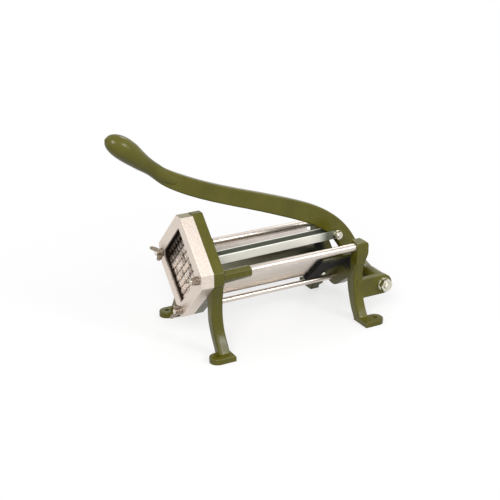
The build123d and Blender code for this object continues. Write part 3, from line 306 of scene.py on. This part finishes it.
def trough_sheet():
    """Polished sheet, with a painted green reflection and painted shade on the lower inner walls,
    and painted shade on the lower outer walls and along the fold.
    """
    t = drawn_metal("trough_sheet", (204, 194, 187), (216, 207, 199), (0.2, 0.3), 0.03, 500)
    x, _, z = t.axes(t.place)
    (front, _, fold), (rear, _, _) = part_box("feed_trough")
    inside = t.span(t.axes(t.coordinates("Normal"))[2], 0.0, 1.0, *INNER_SIDE)
    waves = t.noise(scale=60, rough=0.6, stretch=(0.1, 1, 1))
    height = t.math("ADD", z, t.span(waves, -TROUGH_WANDER, TROUGH_WANDER))
    inner_reflection = t.blend(t.span(x, 0.0, 1.0, front, rear), INNER_REFLECTION_FRONT, INNER_REFLECTION_REAR)
    inside_reflected = t.blend(t.falls(height, INNER_REFLECTION_EDGE, fold), t.colour(), inner_reflection)
    outer_shaded = t.blend(t.falls(height, OUTER_SHADE_EDGE, fold), t.colour(), OUTER_SHADE)
    outside = t.blend(t.falls(height, FOLD_SHADE_EDGE, fold), outer_shaded, FOLD_SHADE)
    t.set("Base Color", t.blend(inside, outside, inside_reflected))
    return t


# Bright ground cutting edges, going over to painted shade deeper in the grid.
BLADE_EDGE_TO_SHADE = ((0.0, srgb(250, 238, 226)), (0.5, srgb(228, 212, 198)), (0.95, srgb(80, 66, 56)))
# Painted shadow of the frame's edge over the grid's upper +Y corner.
BLADE_CORNER_SHADOW, BLADE_CORNER_SHADOW_EDGE = srgb(74, 60, 50), (14, 38)    # from the grid's middle, up and to +Y
BLADE_DEPTH = (0, 8)                # behind the front blades' cutting edges, over which the painted shade deepens


def blade_strip():
    """Ground steel, bright at the cutting edges, with painted shade behind them and a painted
    shadow over the grid's upper +Y corner.
    """
    t = Finish("blade_strip", Metallic=1.0)
    x, y, z = t.axes(t.place)
    (edge, _, low), (_, _, high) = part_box("blades_front")
    depth_shaded = t.ramp(t.rises(x, BLADE_DEPTH, edge), *BLADE_EDGE_TO_SHADE)
    corner = t.math("ADD", y, t.math("SUBTRACT", z, (low + high) / 2))
    t.set("Base Color", t.blend(t.rises(corner, BLADE_CORNER_SHADOW_EDGE), depth_shaded, BLADE_CORNER_SHADOW))
    t.set("Roughness", t.span(t.noise(scale=500), 0.22, 0.38))
    t.bump((t.noise(scale=700, rough=0.6, stretch=(1, 0.2, 0.2)), 0.12, 0.04))
    return t


CAST = {"dark": (206, 193, 182), "light": (238, 226, 215), "roughness": (0.44, 0.58), "grain": 0.5}
# Painted shade on the walls inside the opening, behind the front face.
OPENING_SHADE, OPENING_PAST_BLADES = srgb(62, 52, 46), 3.3 * MM
OPENING_EDGE, OPENING_DEPTH = (0, 0.3), (0.6, 3)    # outward, and back from the front face
# Painted dark reflection on the frame's top face.
TOP_REFLECTION, TOP_EDGE = srgb(160, 155, 132), (-0.5, -0.1)


def blade_frame_metal():
    """The blade frame's cast metal, with painted shade inside its opening and a painted dark
    reflection on its top.
    """
    t = cast_metal("blade_frame_metal", **CAST)
    x, y, z = t.axes(t.place)
    (_, _, low), (_, blade_end, high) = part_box("blades_front")
    (front, _, _), (_, _, top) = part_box("blade_frame")
    above = t.math("ABSOLUTE", t.math("SUBTRACT", z, (low + high) / 2))
    across = t.math("ADD", t.math("ABSOLUTE", y), above)
    opening_shade = t.math("MULTIPLY", t.falls(across, OPENING_EDGE, blade_end + OPENING_PAST_BLADES),
                   t.rises(x, OPENING_DEPTH, front))
    top_reflected = t.blend(t.rises(z, TOP_EDGE, top), t.colour(), TOP_REFLECTION)
    t.set("Base Color", t.blend(opening_shade, top_reflected, OPENING_SHADE))
    return t


SCOURED = ((0.38, srgb(128, 119, 112)), (0.54, srgb(214, 206, 198)))
# Painted shade on the fingers' sides, and painted shadow over the grid's upper +Y corner.
FINGER_SHADE, SHADED_EDGE = srgb(70, 57, 48), (21, 37)    # from the grid's middle, up and to +Y
TIP_EDGE, FINGER_EDGE = (0.64, 2.4), (11.2, 16)           # behind the fingers' tips


def pusher_metal():
    """Dull cast metal.  Painted shade darkens the fingers' sides between the blades and the grid's
    upper +Y corner; the scoured tips stay bright.
    """
    t = cast_metal("pusher_metal", (150, 141, 133), (176, 167, 158), (0.3, 0.45), 0.3)
    x, y, z = t.axes(t.place)
    (tips, _, low), (_, _, high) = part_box("pusher_block")
    corner = t.math("ADD", y, t.math("SUBTRACT", z, (low + high) / 2))
    tip = t.blend(t.rises(corner, SHADED_EDGE), t.ramp(t.noise(scale=70), *SCOURED), FINGER_SHADE)
    fingers = t.blend(t.rises(x, TIP_EDGE, tips), tip, FINGER_SHADE)
    t.set("Base Color", t.blend(t.rises(x, FINGER_EDGE, tips), fingers, t.colour()))
    return t


LOOKS = {
    "green_enamel": olive_enamel(),
    "cast_aluminium": cast_metal("cast_aluminium", **CAST),
    "chromed_steel": drawn_metal("chromed_steel", (202, 192, 182), (216, 206, 197), (0.27, 0.37)),
    "stainless_sheet": trough_sheet(),
    "bright_steel": drawn_metal("bright_steel", (214, 212, 202), (226, 224, 216), (0.3, 0.42)),
    "blade_steel": blade_strip(),
    "zinc_plate": cast_metal("zinc_plate", (198, 194, 178), (222, 218, 204), (0.12, 0.22), 0.15),
    "bronze": cast_metal("bearing_bronze", (150, 112, 62), (176, 136, 80), (0.35, 0.5), 0.1),
}
WING_ZINC = cast_metal("wing_nut_zinc", (110, 95, 82), (176, 162, 146), (0.2, 0.36), 0.3)
NODE_LOOKS = {"blade_frame": blade_frame_metal(), "pusher_block": pusher_metal()}
NODE_LOOKS |= dict.fromkeys(("wing_nut_near", "wing_nut_far", "wing_nut_bottom"), WING_ZINC)
NODE_LOOKS |= dict.fromkeys(("link_bar_near", "link_bar_far"), link_bar_metal())

slots = {s["node"]: s["material_slot"] for s in frame["record"]["subparts"]}
for name, node in nodes.items():
    node.data.materials.clear()
    node.data.materials.append(NODE_LOOKS.get(name, LOOKS[slots[name]]).material)


# ---------------------------------------------------------------- added pieces
SHARP_ANGLE = math.radians(35)

THREAD_STEPS = 28                   # points in one turn
THREAD_ROOT, THREAD_CREST = 0.1 * MM, 0.22 * MM     # under and above the shank's surface
THREAD_FLANK = 0.42                 # of the pitch, to each side of the crest
THREAD_FADE, THREAD_END = 3, 0.05   # full heights gained in one turn, and the least share left

STUD_RADIUS, STUD_PITCH = 3.175 * MM, 1.27 * MM
STUD_THREAD = (0.5 * MM, 2.1 * MM)  # from the rod's front end
ROD_CHAMFER, ROD_PITCH = 0.5 * MM, 1.25 * MM
BOLT_CHAMFER = 0.4 * MM
# Bolt, nut, body, shank radius and pitch.
BOLTS = (("pivot_bolt", "pivot_nut", "stand", 4.75 * MM, 1.5 * MM),
         ("link_bolt", "link_nut", "links", 3.2 * MM, 0.8 * MM))

# Screws, in mm.  Shank: (along, radius).  Head: (along, inset from the rim).  Crown: along.
# Recess: length and half width of its arms, and depth.  Along counts from the CAD head's face.
PAN_HEAD = {"shank": ((-4, 2.4), (-2.8, 2.4)),
            "head": ((-2.8, 0), (-1.5, 0), (-0.85, 0.25), (-0.35, 0.8), (-0.08, 1.7)),
            "crown": 0, "recess": (2.1, 0.5, 1.7)}
OVAL_HEAD = {"shank": ((-6, 2.9), (-2.5, 3)),
             "head": ((0, 0), (0.35, 0.25), (0.8, 1.1), (1.15, 2.3), (1.35, 3.7)),
             "crown": 1.4, "recess": (2.4, 0.55, 1.1)}
FLANGE_SCREW_Y = 10.2 * MM          # from the middle to the axes of the pusher's screws
TURNED_SEGMENTS = 40
RECESS_MOUTH, RECESS_FLOOR = 1.1, 0.55   # scale of the punch above the head and at its tip
RECESS_ABOVE = 0.6 * MM             # how far the punch starts above the head


def make_mesh(name, points, faces):
    """Smooth-shaded zinc-plated object."""
    mesh = bpy.data.meshes.new(name)
    mesh.from_pydata(points, [], faces)
    work = bmesh.new()
    work.from_mesh(mesh)
    bmesh.ops.recalc_face_normals(work, faces=work.faces)
    work.to_mesh(mesh)
    work.free()
    mesh.shade_smooth()
    mesh.set_sharp_from_angle(angle=SHARP_ANGLE)
    made = bpy.data.objects.new(name, mesh)
    bpy.context.scene.collection.objects.link(made)
    mesh.materials.append(LOOKS["zinc_plate"].material)
    return made


def make_piece(name, points, faces, body):
    """Zinc-plated piece that rides on a body."""
    piece = make_mesh(name, points, faces)
    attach(piece, body)
    return piece


def middle(box, first_axis, second_axis):
    low, high = box
    return [(low[axis] + high[axis]) / 2 for axis in (first_axis, second_axis)]


def thread(name, body, axis, start, end, centre, radius, pitch):
    """Ridge of a screw thread on a smooth shank along X (axis 0) or Y (axis 1).

    It fades out at both ends.
    """
    root = radius - THREAD_ROOT
    count = round(THREAD_STEPS * (end - start) / pitch)
    points, faces = [], []
    for i in range(count + 1):
        fade = max(THREAD_END, min(1.0, THREAD_FADE * i / THREAD_STEPS,
                                   THREAD_FADE * (count - i) / THREAD_STEPS))
        angle = 2 * math.pi * i / THREAD_STEPS
        crest = radius + THREAD_CREST * fade
        for reach, shift in ((root, -THREAD_FLANK), (crest, 0.0), (root, THREAD_FLANK)):
            along = start + pitch * (i / THREAD_STEPS + shift * fade)
            a, b = centre[0] + reach * math.cos(angle), centre[1] + reach * math.sin(angle)
            points.append((along, a, b) if axis == 0 else (a, along, b))
    for i in range(0, 3 * count, 3):
        faces += [(i, i + 3, i + 4, i + 1), (i + 1, i + 4, i + 5, i + 2), (i + 2, i + 5, i + 3, i)]
    faces += [(0, 1, 2), (3 * count + 2, 3 * count + 1, 3 * count)]
    make_piece(name, points, faces, body)


def cut_threads():
    for side in ("near", "far", "bottom"):
        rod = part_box("tie_rod_" + side)
        start, end = (rod[0][0] + reach for reach in STUD_THREAD)
        thread("stud_thread_" + side, "stand", 0, start, end, middle(rod, 1, 2),
               STUD_RADIUS, STUD_PITCH)
    low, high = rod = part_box("tie_rod_bottom")
    thread("rod_thread", "stand", 0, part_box("rod_nut")[1][0], high[0] - ROD_CHAMFER,
           middle(rod, 1, 2), (high[2] - low[2]) / 2, ROD_PITCH)
    for bolt, nut, body, radius, pitch in BOLTS:
        nut_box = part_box(nut)
        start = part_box(bolt)[0][1] + BOLT_CHAMFER
        thread(bolt + "_thread", body, 1, start, nut_box[0][1], middle(nut_box, 0, 2),
               radius, pitch)


def screw_outline(shape, radius):
    """(along, radius) pairs of half a screw, which start and end on its axis."""
    outline = [(shape["shank"][0][0] * MM, 0)]
    outline += [(along * MM, reach * MM) for along, reach in shape["shank"]]
    outline += [(along * MM, radius - inset * MM) for along, inset in shape["head"]]
    return outline + [(shape["crown"] * MM, 0)]


def turned(outline, centre):
    """Points and faces of an outline turned about an axis along X."""
    x, y, z = centre
    points, faces = [(outline[0][0] + x, y, z)], []
    for along, radius in outline[1:-1]:
        for i in range(TURNED_SEGMENTS):
            angle = 2 * math.pi * i / TURNED_SEGMENTS
            points.append((along + x, y + radius * math.cos(angle), z + radius * math.sin(angle)))
    points.append((outline[-1][0] + x, y, z))
    last = len(points) - 1
    for i in range(TURNED_SEGMENTS):
        j = (i + 1) % TURNED_SEGMENTS
        faces.append((0, 1 + i, 1 + j))
        for ring in range(len(outline) - 3):
            a = 1 + ring * TURNED_SEGMENTS
            b = a + TURNED_SEGMENTS
            faces.append((a + i, b + i, b + j, a + j))
        faces.append((last, last - TURNED_SEGMENTS + j, last - TURNED_SEGMENTS + i))
    return points, faces


def cross_punch(centre, reach, width, depth):
    """Points and faces of a tapered cross-shaped punch that points along -X."""
    x, y, z = centre
    outline = []
    for quarter in range(4):
        cos, sin = math.cos(-quarter * math.pi / 2), math.sin(-quarter * math.pi / 2)
        for u, v in ((width, width), (reach, width), (reach, -width)):
            outline.append((u * cos - v * sin, u * sin + v * cos))
    points = [(x + along, y + scale * u, z + scale * v)
              for along, scale in ((RECESS_ABOVE, RECESS_MOUTH), (-depth, RECESS_FLOOR))
              for u, v in outline]
    count = len(outline)
    faces = [tuple(range(count)), tuple(range(2 * count - 1, count - 1, -1))]
    faces += [(i, (i + 1) % count, count + (i + 1) % count, count + i) for i in range(count)]
    return points, faces


def joined(parts):
    points, faces = [], []
    for more_points, more_faces in parts:
        faces += [tuple(i + len(points) for i in face) for face in more_faces]
        points += more_points
    return points, faces


def recessed_screws(node, body, shape, radius, places):
    """Screws with a cross recess, in place of a CAD node's plain ones."""
    outline = screw_outline(shape, radius)
    recess = [size * MM for size in shape["recess"]]
    blanks = [turned(outline, place) for place in places]
    screws = make_piece(node + "_recessed", *joined(blanks), body)
    crown = Vector((shape["crown"] * MM, 0, 0))
    punches = [cross_punch(Vector(place) + crown, *recess) for place in places]
    punch = make_mesh("punch", *joined(punches))
    cut = screws.modifiers.new("recess", "BOOLEAN")
    cut.operation = "DIFFERENCE"
    cut.solver = "EXACT"
    cut.object = punch
    bpy.context.view_layer.update()
    depsgraph = bpy.context.evaluated_depsgraph_get()
    mesh = bpy.data.meshes.new_from_object(screws.evaluated_get(depsgraph))
    screws.modifiers.clear()
    screws.data = mesh
    bpy.data.objects.remove(punch)
    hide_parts(node)


def recess_screws():
    (_, y0, z0), (x1, y1, z1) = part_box("pusher_screws")
    radius = y1 - FLANGE_SCREW_Y
    rows, columns = (z0 + radius, z1 - radius), (y0 + radius, y1 - radius)
    recessed_screws("pusher_screws", "pusher", PAN_HEAD, radius,
                    [(x1, y, z) for y in columns for z in rows])
    (_, y0, z0), (x1, y1, z1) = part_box("rod_end_screws")
    radius = (z1 - z0) / 2
    recessed_screws("rod_end_screws", "stand", OVAL_HEAD, radius,
                    [(x1, y, (z0 + z1) / 2) for y in (y0 + radius, y1 - radius)])


recess_screws()
cut_threads()


# ---------------------------------------------------------------- stage
WHITE = (1, 1, 1, 1)
FLOOR_HALF_SIDE = 14.0
FLOOR_MATTE = (0.97, 0.97, 0.97, 1)
FLOOR_UNSEEN = (0.2, 0.2, 0.2, 1)   # what lights the object's undersides
SHADOW_SHARE = 0.36                 # of the floor's own shading, the rest is plain white
SHADOW_FADE = (0.2, 0.6)            # distance from the origin over which that share goes to none
SKY_LEVEL, SKY_TOP = 0.62, 0.66     # brightness at the horizon and overhead
# Name, place, side and power in watts of each square lamp.
LAMPS = (("key", (-0.95, -1.15, 1.2), 0.8, 18),
         ("fill", (0.62, -1.26, 0.92), 0.4, 6.5),
         ("back", (0.9, 0.75, 1.2), 0.3, 2))
LAMP_TARGET = (0, 0, 0.1)
# Camera that was fitted to the photograph.
CAMERA_PLACE = (-0.70605, -1.2748, 0.7018)
CAMERA_TURN = (62.12, -22.3, -0.35)                 # yaw, pitch and roll in degrees
CAMERA_LENS, CAMERA_SENSOR = 82.64, 36              # mm


def make_floor():
    """White floor whose shadow fades out with the distance from the object."""
    s = FLOOR_HALF_SIDE
    mesh = bpy.data.meshes.new("floor")
    mesh.from_pydata([(-s, -s, 0), (s, -s, 0), (s, s, 0), (-s, s, 0)], [], [(0, 1, 2, 3)])
    floor = bpy.data.objects.new("floor", mesh)
    bpy.context.scene.collection.objects.link(floor)
    material = bpy.data.materials.new("floor_white")
    t = Tree(material, "ShaderNodeOutputMaterial")
    distance = t.add("ShaderNodeVectorMath", operation="LENGTH")
    t.feed(t.coordinates("Object"), distance.inputs[0])
    share = t.span(distance.outputs["Value"], SHADOW_SHARE, 0.0, *SHADOW_FADE,
                   interpolation_type="SMOOTHSTEP")
    seen = t.mix_shaders(share, t.plain_shader("ShaderNodeEmission", WHITE),
                         t.plain_shader("ShaderNodeBsdfDiffuse", FLOOR_MATTE))
    unseen = t.plain_shader("ShaderNodeBsdfDiffuse", FLOOR_UNSEEN)
    t.feed(t.mix_shaders(t.seen_or_mirrored(), unseen, seen), t.surface)
    mesh.materials.append(material)


def make_world():
    """Nearly even light on matt surfaces, and white to the camera and in reflections."""
    world = bpy.data.worlds.new("studio")
    bpy.context.scene.world = world
    t = Tree(world, "ShaderNodeOutputWorld")
    upward = t.axes(t.coordinates("Generated"))["Z"]
    sky = t.plain_shader("ShaderNodeBackground", t.span(upward, SKY_LEVEL, SKY_TOP, 0.0, 1.0))
    white = t.plain_shader("ShaderNodeBackground", WHITE)
    t.feed(t.mix_shaders(t.seen_or_mirrored(), sky, white), t.surface)


def make_lamp(name, place, side, power):
    data = bpy.data.lights.new(name, "AREA")
    data.shape = "SQUARE"
    data.size = side
    data.energy = power
    lamp = bpy.data.objects.new(name, data)
    bpy.context.scene.collection.objects.link(lamp)
    lamp.location = place
    lamp.rotation_euler = (Vector(LAMP_TARGET) - Vector(place)).to_track_quat("-Z", "Y").to_euler()


def make_camera():
    yaw, pitch, roll = (math.radians(angle) for angle in CAMERA_TURN)
    level = math.cos(pitch)
    forward = Vector((level * math.cos(yaw), level * math.sin(yaw), math.sin(pitch)))
    right = Vector((math.sin(yaw), -math.cos(yaw), 0))
    up = right.cross(forward)
    cos, sin = math.cos(roll), math.sin(roll)
    right, up = right * cos + up * sin, up * cos - right * sin
    data = bpy.data.cameras.new("camera")
    data.lens = CAMERA_LENS
    data.sensor_width = CAMERA_SENSOR
    camera = bpy.data.objects.new("camera", data)
    bpy.context.scene.collection.objects.link(camera)
    turn = Matrix((right, up, -forward)).transposed().to_4x4()
    camera.matrix_world = Matrix.Translation(CAMERA_PLACE) @ turn
    bpy.context.scene.camera = camera


make_floor()
make_world()
for lamp in LAMPS:
    make_lamp(*lamp)
make_camera()
bpy.context.scene.view_settings.view_transform = "Standard"
